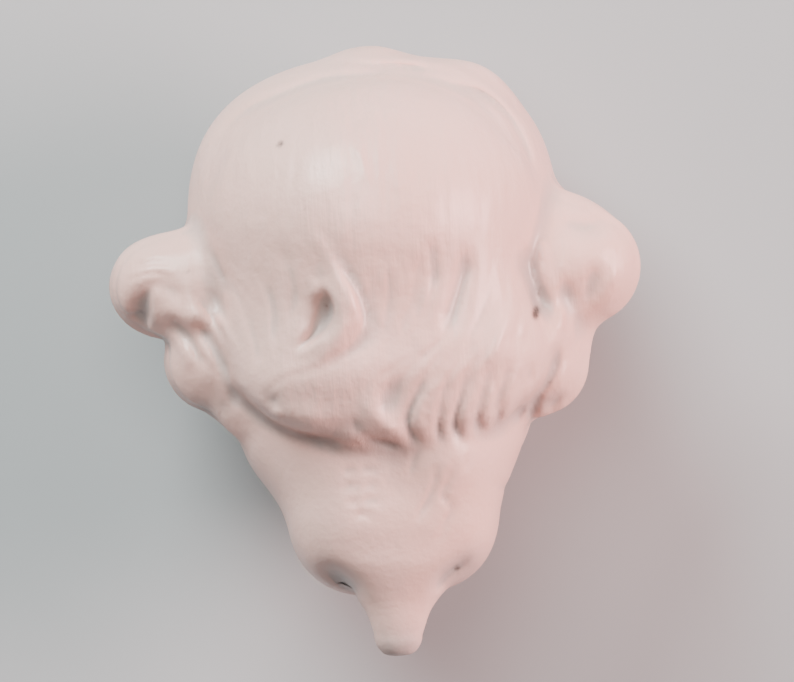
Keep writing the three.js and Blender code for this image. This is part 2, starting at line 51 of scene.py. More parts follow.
# Hair and skull: centre, half sizes and squareness of rounded forms
CRANIUM = ((0, 5.2, 0.5), (11.5, 9.9, 12.0), 2)
BACK_HAIR = ((0.4, -3.2, 3.1), (11.0, 8.6, 7.9), 2.3)
FRONT_HAIR = ((0, 7.2, -5.0), (11.0, 7.6, 8.2), 2.2)
FRONT_WAVE = ((5.0, 8.3, -7.0), (5.7, 5.6, 7.35), 2)
HAIR_PEAK = ((0.2, 13.2, -2.6), (3.2, 3.4, 3.2), 2)
RIGHT_LOCK = ((6.2, 12.2, -2.3), (3.1, 3.0, 3.2), 2)
NAPE_LINE = dict(x=1.0, y=-9.7, reach=11.0, climb=4.2, power=2.5)
BROW_LINE = dict(y=6.6, reach=9.0, fall=6.4)
PARTING = dict(width=0.6, depth=1.0)
HAIR_ROLL = dict(y=5.9, reach_x=8.1, reach_y=6.4, z=-2.3, radius=3.4, swell=0.7)
ROLL_ENDS = math.radians(112)

# Side curls: rear and front middles with their radii, then the spacing and depth of the grooves
# round them and the length over which the grooves set in
CURLS = [
    ((-14.25, 1.7, 0.8), (-12.4, 1.4, -5.0), 3.2, 3.0),
    ((-10.9, -3.4, 1.0), (-9.8, -3.5, -4.8), 3.3, 2.9),
    ((-8.8, -6.1, 1.6), (-8.4, -5.6, -3.0), 2.5, 2.2),
    ((13.5, 1.3, 0.8), (12.3, 1.4, -5.0), 3.85, 3.0),
    ((12.75, 3.4, -0.5), (11.6, 3.2, -4.5), 2.75, 2.4),
    ((11.3, -2.2, 0.8), (10.4, -2.2, -4.0), 2.8, 2.4),
    ((9.9, -4.8, 1.0), (9.6, -4.2, -4.8), 3.6, 2.9),
]
CURL_GROOVES = ((3.6, 0.22), (1.2, 0.05))
GROOVE_RUN_IN = 2

# Hair that runs from the crown into the upper curls, mirrored
CURL_ROOT = ((11.5, 2.3, 0.9), (3.0, 2.8, 3.5), 2)

# Neck stub, its flare up to the hair, and the tongue
NECK = ((0.15, -12.4, 0.8), (7.1, 7.25, 6.9), 2.7)
NAPE_RISE = ((3.8, -9.6, 2.2), (3.1, 4.2, 6.1), 2)
NECK_FLARE = ((-0.15, -7.2, 0.2), (9.6, 7.5, 7.3), 2.2)
TONGUE = ((0.3, -17.2, 3.9), (0, -22.05, 3.7), 3.1, 1.6)
TONGUE_FLATNESS = 0.8

# Face, for +X and mirrored
FOREHEAD = ((0, 3.5, -3.0), (9.4, 7.5, 8.6), 2)
JAW = ((-0.1, -6.0, -4.6), (9.9, 9.7, 7.3), 2)
CHEEK = ((4.8, -5.9, -7.4), (4.0, 4.0, 4.0), 2)
MUZZLE = ((0, -8.6, -8.4), (3.5, 3.0, 3.6), 2)
CHIN = ((0, -12.4, -8.9), (2.9, 2.6, 2.6), 2)
SOCKET = ((4.1, -1.2, -12.4), (2.9, 2.2, 2.3), 2)
EYE = ((4.1, -1.5, -8.7), (2.1, 2.1, 2.1), 2)
UPPER_LIP = ((0.85, -8.5, -11.7), (1.4, 0.55, 0.7), 2)
LOWER_LIP = ((0, -9.75, -11.6), (1.6, 0.7, 0.75), 2)
NOSE_RIDGE = ((0, 0.2, -10.5), (0, -4.9, -12.7), 1.1, 1.55)
NOSE_WING = ((1.35, -5.5, -11.9), (0.9, 0.85, 0.9), 2)

# How softly the forms run into each other
BLEND = dict(
    nape=2.5, hair_edge=1.2, wave=1.0, front=1.0, band=1.0, hair_roll=3.4,
    curls=1.2, curl_root=1.5, curl_foot=2.0, hairline=1.0,
    forehead=4.0, cheek=3.5, muzzle=2.0, chin=2.2, socket=1.5, eye=0.5, nose=1.4, wing=0.5, lips=0.4,
    flare=1.8, nape_rise=2.5, tongue=1.8, throat=1.6, tongue_end=0.3, rest=0.15,
)

# Strokes carved in the form: width, depth (below zero for a raised strand), step and the points
# that each runs through. A step sinks the side to the left of the run and lifts the other one.
# These broad strokes are in the solid too.
BROAD_STROKES = [
    # Comma-shaped lock: its thin upper end, its body, the hollow inside it and the lock that hugs it
    (0.5, -0.14, 0, [(-4.2, 4.8), (-3.4, 3.5), (-2.75, 2.1), (-2.2, 0.8)]),
    (1.0, -0.85, 0, [(-2.9, 1.6), (-2.25, 0.2), (-2.1, -1.0),
                     (-2.4, -1.9), (-3.3, -2.6), (-4.6, -3.2)]),
    (0.5, 0.8, 0, [(-3.75, 0.6), (-3.55, -0.1), (-3.7, -0.9),
                   (-4.2, -1.7), (-4.8, -2.4), (-5.3, -2.8)]),
    (1.2, 0.3, 0, [(-4.3, 1.2), (-4.3, 0.0), (-4.8, -1.2)]),
    (0.8, -0.2, 0, [(-5.0, 2.2), (-4.6, 0.6), (-4.8, -0.8), (-5.4, -1.9), (-6.4, -3.0)]),
    # Strands to its left
    (0.45, 0.08, 0, [(-6.2, 4.2), (-5.75, 2.7), (-5.45, 1.2), (-5.45, 0.2), (-5.8, -1.2)]),
    (0.45, 0.08, 0, [(-7.2, 1.6), (-6.9, 0.2), (-6.85, -1.0), (-7.2, -2.3)]),
    (0.45, 0.07, 0, [(-8.5, 0.2), (-8.3, -1.4), (-8.15, -2.8), (-8.3, -3.8)]),
    (0.5, 0.06, 0, [(-9.9, 2.5), (-9.2, 1.2), (-8.5, 0.2)]),
    (0.5, 0.08, 0, [(-11.3, 1.2), (-10.5, 0.2), (-9.7, -1.2), (-9.3, -2.6)]),
    # Mass below it
    (1.5, -0.4, 0, [(0.5, -3.9), (-3.0, -4.6), (-6.4, -4.8), (-9.0, -5.0)]),
    # Valley from the left curl to the nape, and the strands along it
    (0.8, 0.32, 0, [(-12.0, -1.0), (-11.4, -1.9), (-10.7, -3.2),
                    (-10.0, -4.6), (-9.2, -5.9), (-8.3, -6.9)]),
    (0.9, -0.45, 0, [(-12.9, 0.7), (-12.4, 0.0), (-11.9, -0.8)]),
    (0.9, -0.3, 0, [(-13.0, 2.2), (-12.0, 0.9), (-11.0, -0.6), (-10.0, -2.4)]),
    (0.9, -0.45, 0, [(-14.1, 0.8), (-13.5, 0.0), (-12.7, -1.0), (-11.8, -2.3), (-11.1, -3.5)]),
    (1.1, -0.35, 0, [(-14.0, -0.2), (-13.3, -0.7), (-12.7, -1.4)]),
    (0.5, 0.25, 0, [(-14.1, -0.5), (-13.3, -1.1), (-12.6, -2.0), (-12.1, -2.9), (-11.7, -3.8)]),
    (0.5, -0.25, 0, [(-13.9, -1.2), (-13.1, -2.2), (-12.6, -3.4)]),
    # Right side
    (0.6, 0.42, 0, [(6.0, 2.8), (5.7, 1.4), (5.3, 0.2), (4.85, -1.1), (4.4, -2.4)]),
    (0.5, 0.15, 0, [(3.7, 3.6), (3.7, 2.0), (3.6, 0.4)]),
    (1.2, 0.38, 0, [(9.6, 3.0), (9.8, 1.4), (10.1, 0.2), (10.5, -0.8), (10.7, -1.9)]),
    (0.9, -0.35, 0, [(10.9, 2.2), (10.8, 1.0), (10.8, 0.2), (11.1, -0.6)]),
    (0.9, -0.35, 0, [(8.6, -0.8), (8.0, -2.6), (7.0, -4.4)]),
    (0.7, -0.35, 0, [(11.7, 0.8), (11.9, -0.8), (11.8, -2.8), (11.2, -4.6)]),
    # Hollows of the side curls
    (0.75, 0.9, 0, [(-15.2, 1.3), (-15.6, 0.4), (-15.5, -0.7)]),
    (0.7, 0.5, 0, [(14.5, 1.2), (14.1, 0.2), (13.7, -1.0)]),
    (0.7, 0.5, 0, [(12.4, 0.3), (12.4, -0.3), (12.4, -1.0)]),
    (0.75, 0.45, 0, [(12.4, 4.3), (13.4, 3.95), (14.6, 3.9), (15.4, 4.1)]),
    # Edge of the hair at the nape, and the small curl on it
    (0.7, 0.3, 0, [(-9.2, -5.6), (-8.6, -6.5), (-7.6, -7.6), (-6.2, -8.4), (-4.6, -9.0), (-3.3, -9.5)]),
    (0.8, -0.2, 0, [(-6.6, -6.6), (-5.4, -7.3), (-4.0, -7.6)]),
    (0.6, 0.15, 0, [(-4.3, -8.4), (-3.2, -8.45), (-2.2, -8.2)]),
    (0.5, 0.15, 0, [(-2.1, -7.8), (-1.6, -8.7), (-0.5, -9.2), (0.7, -9.6)]),
    (0.6, -0.24, 0, [(-1.0, -6.4), (-0.8, -7.5), (-0.1, -8.2), (0.9, -8.75)]),
    (0.85, 0.55, 0, [(1.0, -5.3), (0.7, -6.2), (0.35, -7.4)]),
    # Locks along it
    (0.45, 0.33, 0, [(2.8, -5.2), (2.3, -6.1), (1.75, -7.1), (1.45, -8.1), (1.6, -8.9), (2.1, -9.6)]),
    (0.42, 0.28, 0, [(4.4, -5.4), (3.95, -6.6), (3.55, -7.8), (3.45, -8.8), (3.6, -9.7)]),
    (0.42, 0.38, 0, [(5.9, -5.0), (5.3, -6.1), (4.8, -7.3), (4.5, -8.5), (4.85, -9.6)]),
    (0.5, 0.3, 0, [(7.3, -4.7), (6.8, -5.7), (6.3, -6.9), (6.0, -8.2), (6.0, -9.3)]),
    (0.5, 0.28, 0, [(8.5, -4.6), (8.0, -5.7), (7.55, -7.0), (7.25, -8.5)]),
    (0.45, 0.28, 0, [(9.9, -4.8), (9.5, -5.8), (8.9, -7.1), (8.4, -8.6)]),
    (0.45, 0.45, 0, [(11.6, -3.9), (11.2, -5.2), (10.5, -6.5), (9.9, -7.3), (9.4, -8.3)]),
    (0.4, 0.3, 0, [(11.7, -6.9), (11.2, -7.4), (10.6, -7.8)]),
    # Band above the tongue and creases beside it
    (1.2, 0.12, 0, [(-4.4, -15.8), (0.2, -16.5), (5.0, -15.8)]),
    (0.7, 0.35, 0, [(-4.6, -17.5), (-3.4, -18.2), (-2.4, -19.4)]),
    (0.7, 0.3, 0, [(4.9, -17.5), (3.7, -18.2), (2.8, -19.2)]),
]

# Fine strokes on the back of the head
FINE_STROKES = [
    # Comma-shaped lock: step at its outer edge, crest, wall of the hollow and lines along it
    (0.6, 0.08, 0.05, [(-3.7, 4.8), (-2.8, 3.4), (-2.1, 2.2), (-1.6, 1.1)]),
    (0.6, 0.1, 0, [(-4.3, 4.9), (-3.6, 3.6), (-3.0, 2.5)]),
    (0.42, 0.12, 0.26, [(-2.2, 2.0), (-1.85, 1.3), (-1.45, 0.5), (-1.1, -0.6), (-1.0, -1.6)]),
    (0.42, 0.03, 0.06, [(-1.0, -1.4), (-1.2, -2.2), (-1.9, -2.9), (-3.2, -3.5), (-4.6, -3.8)]),
    (0.3, -0.06, 0, [(-2.0, 1.1), (-1.7, 0.4), (-1.45, -0.4), (-1.35, -1.3), (-1.4, -2.0)]),
    (0.3, 0.0, -0.26, [(-3.5, 1.1), (-3.1, 0.4), (-2.95, -0.2), (-3.15, -1.0),
                       (-3.75, -1.8), (-4.4, -2.35), (-5.2, -2.85)]),
    (0.25, -0.14, 0, [(-3.5, -2.15), (-4.2, -2.65), (-4.9, -3.1), (-5.6, -3.4)]),
    (0.25, 0.06, 0.04, [(-5.0, 2.0), (-4.6, 0.6), (-4.8, -0.8), (-5.3, -2.0)]),
    (0.55, -0.5, 0, [(-4.1, 1.1), (-3.95, 0.7), (-3.9, 0.2)]),
    (0.4, 0.35, 0, [(-3.3, -0.1), (-3.2, -0.8), (-3.5, -1.5), (-4.0, -2.2)]),
    (0.45, -0.35, 0, [(-4.5, -1.4), (-4.9, -2.2), (-5.4, -2.8)]),
    # Strands to its left
    (0.25, 0.05, 0.02, [(-5.7, 2.6), (-5.45, 1.6), (-5.4, 0.6), (-5.5, -0.2)]),
    (0.25, 0.05, 0.02, [(-7.1, 1.1), (-6.9, 0.1), (-6.85, -0.9), (-7.05, -1.8)]),
    (0.25, 0.05, 0.02, [(-8.4, -0.2), (-8.25, -1.4), (-8.15, -2.6), (-8.3, -3.6)]),
    (0.3, 0.05, 0.04, [(-11.0, 4.0), (-10.2, 2.2), (-9.6, 0.6)]),
    (0.25, 0.06, 0.06, [(-12.6, 1.6), (-11.8, 0.5), (-10.9, -0.9), (-10.2, -2.4)]),
    # Left side and its curls
    (0.35, 0.05, 0.06, [(-12.5, -0.4), (-11.6, -1.8), (-10.8, -3.2), (-10.1, -4.6)]),
    (0.28, 0.1, 0.08, [(-14.0, -0.4), (-13.3, -0.95), (-12.6, -1.8), (-12.1, -2.8), (-11.7, -3.6)]),
    (0.28, -0.06, 0, [(-12.75, -2.4), (-12.6, -3.0), (-12.5, -3.6)]),
    (0.28, -0.06, 0, [(-12.0, -2.1), (-11.4, -2.9), (-11.0, -3.7)]),
    (0.25, -0.06, 0, [(-11.6, 1.3), (-11.2, 0.6), (-10.8, -0.1), (-10.3, -1.0)]),
    (0.25, -0.05, 0, [(-12.2, 0.9), (-11.6, -0.1), (-11.3, -0.7), (-11.1, -1.4)]),
    (0.6, -0.42, 0, [(-12.3, 0.0), (-11.85, -0.55), (-11.4, -1.1)]),
    (0.2, -0.1, 0, [(-15.5, 3.6), (-14.6, 3.75), (-13.8, 3.7)]),
    (0.22, -0.14, 0, [(-16.2, 2.5), (-15.2, 2.85), (-13.9, 2.85), (-13.1, 2.6)]),
    (0.2, -0.1, 0, [(-16.2, 2.0), (-15.2, 2.35), (-14.2, 2.35)]),
    (0.2, 0.06, 0, [(-16.4, 2.25), (-15.2, 2.6), (-13.9, 2.6)]),
    (0.32, 0.0, -0.3, [(-14.8, 1.5), (-15.0, 0.6), (-15.0, -0.7)]),
    (0.45, 0.12, 0, [(-15.3, 1.7), (-14.4, 1.8), (-13.5, 1.5), (-12.9, 0.9)]),
    (0.4, 0.12, 0, [(-10.0, -5.2), (-9.85, -5.8), (-9.8, -6.5)]),
    (0.4, 0.12, 0, [(-12.4, -6.5), (-12.0, -6.6), (-11.6, -6.7)]),
    (0.3, 0.08, 0, [(-10.6, -6.2), (-10.6, -6.5), (-10.5, -6.9)]),
    # Between the comma and the right side
    (0.3, 0.06, 0.03, [(3.75, 3.4), (3.7, 2.0), (3.6, 0.6)]),
    (0.35, 0.1, 0.05, [(2.7, 2.6), (2.5, 0.8), (2.2, -1.3)]),
    (0.3, 0.05, 0.03, [(0.9, 2.4), (0.8, 0.8), (0.5, -1.2)]),
    (0.3, 0.05, 0.02, [(5.8, 2.2), (5.6, 1.2), (5.2, 0.0), (4.8, -1.2), (4.45, -2.2)]),
    (0.3, 0.06, 0.05, [(4.3, -2.4), (3.5, -3.2), (2.2, -3.9)]),
    (0.28, -0.12, 0, [(8.1, -2.2), (7.85, -3.1), (7.4, -3.9), (6.9, -4.6)]),
    (0.25, -0.1, 0, [(9.5, -1.9), (9.4, -2.4), (9.3, -3.0)]),
    (0.3, 0.06, 0.04, [(9.2, -0.6), (9.1, -1.6), (8.8, -2.8)]),
    # Right side and its curls
    (0.8, 0.28, 0, [(9.7, 2.8), (9.9, 1.4), (10.2, 0.2), (10.4, -0.9), (10.5, -1.9)]),
    (0.4, 0.1, 0, [(10.4, 0.2), (10.5, -0.6), (10.5, -1.4)]),
    (0.25, -0.1, 0, [(12.3, 1.7), (12.4, 1.3), (12.4, 0.9)]),
    (0.25, -0.1, 0, [(11.0, 3.2), (11.1, 2.6), (11.0, 2.0)]),
    (0.25, -0.1, 0, [(15.6, 1.2), (15.6, 0.5), (15.4, -0.1)]),
    (0.3, 0.08, 0, [(15.3, 2.3), (15.4, 2.0), (15.6, 1.7)]),
    (0.25, -0.12, 0, [(12.0, -1.5), (11.95, -2.1), (11.95, -2.7)]),
    (0.25, -0.1, 0, [(12.7, -1.6), (12.6, -2.6), (12.5, -3.6)]),
    (0.25, 0.08, 0.05, [(11.65, -3.6), (11.4, -4.6), (11.0, -5.6), (10.5, -6.5)]),
    (0.3, 0.08, 0.05, [(10.3, -6.9), (9.9, -7.4), (9.5, -8.2)]),
    # Edge of the hair at the nape
    (0.4, 0.05, -0.04, [(-9.4, -5.6), (-8.5, -6.6), (-7.5, -7.6),
                        (-6.3, -8.3), (-5.0, -8.8), (-3.7, -9.4)]),
    (0.65, -0.16, 0, [(-9.0, -5.8), (-7.8, -7.3), (-6.2, -8.4), (-4.6, -9.0)]),
    (0.42, 0.35, 0, [(-7.45, -5.95), (-7.3, -6.1), (-7.15, -6.4)]),
    (0.3, -0.24, 0, [(-7.2, -6.9), (-7.05, -7.1), (-6.9, -7.35)]),
    (0.35, 0.08, 0, [(-3.5, -9.1), (-3.5, -9.5), (-3.5, -9.9)]),
    (0.3, 0.12, 0, [(-2.05, -7.7), (-1.95, -8.15), (-1.65, -8.6)]),
    (0.3, 0.06, -0.03, [(-1.6, -8.75), (-0.6, -9.15), (0.2, -9.45), (0.8, -9.6)]),
    (0.25, -0.12, 0, [(0.1, -8.4), (0.4, -8.5), (0.8, -8.65)]),
    (0.3, 0.06, -0.06, [(0.5, -5.7), (0.2, -6.5), (0.05, -7.4)]),
    (0.25, 0.05, 0.05, [(2.2, -6.3), (1.7, -7.1), (1.4, -8.1), (1.55, -8.9), (1.9, -9.4)]),
    (0.25, 0.05, 0.05, [(3.8, -6.8), (3.5, -7.8), (3.4, -8.8), (3.5, -9.5)]),
    (0.25, 0.07, 0.05, [(5.1, -6.4), (4.7, -7.4), (4.45, -8.5), (4.7, -9.4)]),
    (0.28, 0.05, 0.05, [(6.6, -6.0), (6.2, -7.0), (5.95, -8.1), (5.95, -9.1)]),
    (0.28, 0.07, 0.05, [(7.9, -6.0), (7.5, -7.0), (7.2, -8.3)]),
    (0.25, 0.05, 0.04, [(5.9, -5.6), (5.5, -6.6), (5.3, -7.8)]),
    (0.25, 0.05, 0.04, [(3.1, -6.2), (2.7, -7.2), (2.5, -8.4)]),
    (0.25, 0.06, 0.04, [(9.3, -7.0), (8.9, -7.8), (8.6, -8.6)]),
    # Crown
    (0.3, -0.1, -0.05, [(-0.95, 10.4), (-0.85, 9.8), (-0.5, 9.0), (-0.35, 8.2), (0.0, 7.2)]),
    (0.4, -0.08, 0, [(-1.0, 3.8), (-0.8, 3.8), (-0.6, 3.8)]),
    (0.2, -0.06, 0, [(-7.5, 5.6), (-7.4, 5.6), (-7.3, 5.6)]),
    (0.16, 0.1, 0, [(-5.85, 10.4), (-5.8, 10.5), (-5.65, 10.7)]),
    # Faint lines on the neck, and the creases beside the tongue
    (0.28, 0.06, 0.05, [(1.9, -10.1), (1.6, -10.8), (1.4, -11.6)]),
    (0.28, 0.1, 0.06, [(3.0, -11.0), (2.9, -12.2), (2.5, -13.2), (2.0, -13.9), (1.5, -14.6)]),
    (0.28, 0.1, 0.06, [(4.3, -10.9), (3.8, -12.0), (3.4, -13.2),
                       (3.9, -13.9), (3.5, -14.8), (2.9, -16.0)]),
    (0.28, 0.05, 0.04, [(5.4, -10.4), (5.1, -11.0), (4.9, -11.6)]),
    (0.3, 0.15, -0.1, [(5.0, -17.4), (4.1, -18.0), (3.3, -18.6), (2.7, -19.4)]),
    (0.55, 0.3, 0, [(-4.6, -17.4), (-3.5, -18.2), (-2.7, -19.2)]),
]

# Rows of short shallow dashes where the neck carries its mark: height and ends of each dash
MARK_ROWS = [
    (-11.3, [(-2.9, -2.2), (-1.7, -0.8)]),
    (-12.3, [(-3.0, -1.9), (-1.5, -1.0)]),
    (-13.3, [(-2.7, -2.2), (-1.8, -0.7)]),
    (-14.2, [(-2.4, -1.3)]),
]
# Width, depth and step of a dash, and how far its middle and its end leave the row
MARK_STROKE = (0.28, 0.12, 0.06)
MARK_BEND = (0.12, -0.08)

# Strokes further forward than those above: lines along the roll over the crown and one on the neck
BAND_STROKES = [
    (0.55, 0.22, -0.16, [(-10.6, 10.2), (-9.7, 11.6), (-8.0, 13.0), (-5.6, 13.95),
                         (-3.4, 14.65), (-1.0, 14.95), (1.4, 15.0), (4.0, 14.5),
                         (6.2, 13.6), (8.0, 12.2), (9.3, 10.4), (10.0, 8.8)]),
    (0.35, 0.16, -0.14, [(6.2, 14.0), (8.0, 13.0), (9.5, 11.5), (10.4, 9.6), (10.9, 7.8)]),
    (0.35, 0.12, -0.12, [(-1.2, 15.9), (0.6, 15.6), (2.6, 15.4), (4.6, 15.0)]),
    (0.3, -0.12, 0, [(1.2, 15.8), (5.0, 15.3), (8.0, 13.6), (9.8, 11.4)]),
    (0.4, 0.08, 0, [(6.8, -12.5), (7.3, -12.75), (8.2, -12.9)]),
]

# Families of strokes: first and last stroke, how many, width, depth, step and unevenness
FINE_FANS = [
    # Combed streaks down the crown
    ([(-9.4, 11.6), (-10.6, 7.6), (-10.4, 3.0)], [(-3.2, 13.6), (-3.8, 9.4), (-5.2, 4.6)],
     9, 0.38, 0.01, 0.012, 1),
    ([(-2.9, 14.0), (-2.8, 9.6), (-3.4, 5.2)], [(3.2, 14.0), (3.4, 9.6), (3.4, 4.4)],
     11, 0.35, 0.018, 0.018, 1),
    ([(4.0, 13.6), (4.6, 9.4), (4.6, 4.2)], [(8.8, 10.4), (9.8, 7.0), (9.4, 3.0)],
     9, 0.35, 0.012, 0.012, 1),
    # Strands below them
    ([(-0.4, 3.4), (-0.2, 0.8), (-0.4, -2.2)], [(4.9, 3.0), (4.4, 0.6), (3.4, -2.2)],
     9, 0.25, 0.025, 0.02, 1),
    ([(6.4, 2.6), (6.0, -0.4), (4.4, -3.4)], [(9.3, 2.6), (9.2, -0.6), (8.0, -4.0)],
     6, 0.25, 0.02, 0.02, 1),
    ([(-6.0, 3.0), (-5.7, 0.6), (-6.5, -2.4)], [(-12.6, 1.6), (-11.0, -0.6), (-9.2, -4.4)],
     11, 0.26, 0.02, 0.02, 1),
    ([(2.0, -3.8), (0.2, -4.8), (-0.6, -6.2)], [(8.6, -3.0), (6.4, -5.2), (5.6, -6.8)],
     9, 0.25, 0.02, 0.02, 1),
    ([(2.6, -6.2), (2.0, -7.6), (2.0, -9.0)], [(11.6, -4.4), (10.8, -6.6), (9.2, -8.5)],
     12, 0.25, 0.03, 0.03, 1),
    ([(-0.8, -3.6), (-2.4, -4.8), (-3.0, -6.6)], [(-4.4, -4.0), (-7.4, -4.8), (-8.8, -5.8)],
     5, 0.35, 0.02, 0.03, 1),
]
# Waves of the front hair, for +X and mirrored: broad, then fine
FRONT_FANS = [
    ([(0.8, 9.6), (5.0, 8.6), (9.4, 3.6)], [(0.8, 13.8), (6.4, 12.6), (10.8, 7.4)], 3, 0.8, 0.5, 0),
]
FINE_FRONT_FANS = [
    ([(0.7, 8.4), (4.8, 7.6), (8.9, 3.0)], [(0.7, 14.4), (6.6, 13.2), (11.0, 8.2)],
     11, 0.28, 0.1, 0.05, 0.5),
]

# Carving of the face, for +X and mirrored: broad, then fine
FACE_STROKES = [
    (0.45, 0.35, 0, [(2.2, -1.1), (4.1, 0.0), (6.0, -1.3)]),
    (0.45, 0.3, 0, [(2.5, -2.3), (4.1, -2.75), (5.7, -2.3)]),
    (0.7, -0.25, 0, [(1.8, 1.3), (4.2, 2.2), (6.8, 1.2)]),
    (0.6, 0.35, 0, [(0.0, -9.2), (1.0, -9.12), (2.0, -9.0)]),
]
FINE_FACE_STROKES = [
    (0.22, 0.2, 0, [(2.4, -1.9), (4.1, -2.3), (5.8, -1.9)]),
    (0.22, 0.2, 0, [(0.0, -9.2), (1.0, -9.15), (2.0, -9.0)]),
    (0.3, 0.4, 0, [(0.8, -6.15), (1.1, -6.3), (1.5, -6.2)]),
    (0.4, 0.18, 0, [(0.0, -6.9), (0.0, -7.4), (0.0, -7.9)]),
]

# Brown dirt and painted shade in the crevices, darkest in the shaded creases beside the tongue and at
# its end, then dark specks: width, strength and the points of each
STAINS_AND_SHADE = [
    (0.7, 0.8, [(-15.2, 1.1), (-15.5, 0.3), (-15.4, -0.9)]),
    (0.8, 0.85, [(-12.9, -6.2), (-12.0, -6.6), (-11.0, -6.8)]),
    (0.6, 0.3, [(-10.0, -5.0), (-9.8, -5.8), (-9.8, -6.6)]),
    (0.5, 0.3, [(-10.6, -6.0), (-10.6, -6.5), (-10.6, -7.0)]),
    (0.5, 0.7, [(-7.5, -5.8), (-7.3, -6.1), (-7.2, -6.5)]),
    (0.7, 0.12, [(-8.8, -6.2), (-7.2, -7.9), (-5.4, -8.7), (-3.6, -9.4)]),
    (0.8, 0.35, [(-4.2, -8.4), (-3.2, -8.6), (-2.4, -8.4)]),
    (0.5, 0.6, [(-2.1, -7.7), (-1.9, -8.2), (-1.5, -8.7)]),
    (0.6, 0.4, [(-1.2, -8.9), (0.0, -9.4), (1.0, -9.6)]),
    (0.6, 0.8, [(-3.4, 0.3), (-3.2, -0.4), (-3.4, -1.2), (-4.0, -2.1)]),
    (0.6, 0.35, [(0.5, -6.0), (0.4, -6.8), (0.2, -7.5)]),
    (0.8, 0.4, [(10.0, 1.2), (10.3, 0.0), (10.5, -1.0), (10.6, -2.0)]),
    (0.5, 0.3, [(1.6, -7.4), (1.5, -8.2), (1.9, -8.9)]),
    (0.45, 0.4, [(3.4, -8.8), (3.4, -9.3), (3.4, -9.7)]),
    (0.45, 0.45, [(4.5, -8.4), (4.6, -9.1), (5.0, -9.5)]),
    (0.5, 0.25, [(6.2, -7.2), (6.0, -7.9), (5.9, -8.5)]),
    (0.5, 0.25, [(7.4, -7.3), (7.5, -7.8), (8.1, -8.1)]),
    (0.6, 0.45, [(10.2, -7.0), (9.9, -7.5), (9.5, -8.3)]),
    (0.6, 0.55, [(11.6, -6.9), (11.1, -7.4), (10.4, -7.8)]),
    (0.4, 0.3, [(11.6, -3.6), (11.2, -5.2), (10.6, -6.4)]),
    (0.6, 0.35, [(13.0, 4.0), (14.0, 3.8), (15.0, 3.8)]),
    (0.5, 0.3, [(12.4, 0.1), (12.4, -0.4), (12.4, -0.9)]),
    (0.5, 0.3, [(14.3, 0.8), (14.1, 0.0), (14.0, -0.7)]),
    (0.9, 0.8, [(-5.2, -17.0), (-4.2, -17.8), (-3.2, -18.6), (-2.6, -19.2)]),
    (0.9, 0.8, [(5.6, -16.8), (4.6, -17.8), (3.6, -18.4), (2.9, -19.2)]),
    (1.5, 1.4, [(-1.2, -22.9), (0.1, -23.3), (1.3, -22.9)]),
]
SPECKS = [
    (0.2, 1.7, [(10.38, -1.1), (10.3, -1.5), (10.24, -1.85)]),
    (0.16, 1.3, [(-5.88, 10.45), (-5.82, 10.52), (-5.65, 10.7)]),
    (0.14, 1.4, [(3.95, -17.95), (4.1, -17.9), (4.25, -17.85)]),
    (0.09, 0.9, [(-12.45, 2.6), (-12.4, 2.6), (-12.35, 2.6)]),
    (0.09, 0.8, [(-3.45, -0.15), (-3.4, -0.2), (-3.35, -0.25)]),
    (0.1, 0.5, [(-4.5, 6.2), (-4.45, 6.2), (-4.4, 6.2)]),
    (0.35, 0.2, [(-9.4, 10.1), (-9.3, 10.1), (-9.2, 10.1)]),
]

# Heights between which the strokes of each side of the head fade in or out
BACK_FADE = (-1, 2)
BAND_FADE = (-5, -2)
FRONT_FADE = (-8, -5)
MARK_FADE = (-3, 0)

# A stroke is a row of round dents: their spacing and reach in widths, the depth at the ends of the
# stroke, how fast it deepens from there, and the force of a step
DENT_SPACING = 0.6
DENT_REACH = 2.6
END_DEPTH = 0.25
END_RISE = 4
STEP_FORCE = 1.6

# Points on each stretch of a curve, and how far the strokes of an uneven family shift and weaken
CURVE_STEPS = 20
UNEVEN_SHIFT = 0.6
UNEVEN_FORCE = 0.9

# Grid on which the skin is found: from, to and step, closer over the carved hair. Away from the
# skin the form is worked out on a coarse grid only.
GRID_X = (-18.6, 18.6, 0.22)
GRID_Y = (-24.4, 11.0, 0.3, (-10.5, 6.5), 0.2)
GRID_Y_CROWN = (11.3, 17.8, 0.22)
GRID_Z = (-14.6, 13.8, 0.27)
COARSE_STEP = 0.9
NEAR_SKIN = 1.5

# Moves of the points onto the skin, and the hollows that are painted darker: painted shade with some
# dirt
PROBE = 0.02
LONGEST_MOVE = 0.3
BROAD_ROUNDS = 2
FINE_ROUNDS = 3
EVENING = 0.5
HOLLOW_ROUNDS = 26
HOLLOW_START = 0.01
HOLLOW_FULL = 0.12
HAIR_EDGE = 0.6


def join(a, b, blend):
    """Two forms together, run into each other over the blend."""
    near = np.maximum(blend - np.abs(a - b), 0) / blend
    return np.minimum(a, b) - near * near * blend / 4


def common(a, b, blend):
    """What two forms share."""
    return -join(-a, -b, blend)


def carve(a, b, blend):
    """The first form without the second."""
    return -join(-a, b, blend)


def smoothstep(values, low, high):
    t = np.clip((values - low) / (high - low), 0, 1)
    return t * t * (3 - 2 * t)


def mirrored(p):
    """The points with those on the left folded over to the right."""
    return np.column_stack([np.abs(p[:, 0]), p[:, 1], p[:, 2]])


def rounded(p, centre, half, power):
    """An ellipsoid, squarer above power 2, as the distance of the points from its skin."""
    q = np.abs(p - np.array(centre)) / np.array(half) + TINY
    if power == 2:
        size = np.sqrt((q * q).sum(1))
        slope = q / size[:, None] / np.array(half)
    else:
        size = (q**power).sum(1) ** (1 / power)
        slope = (q / size[:, None]) ** (power - 1) / np.array(half)
    return (size - 1) / np.sqrt((slope * slope).sum(1))


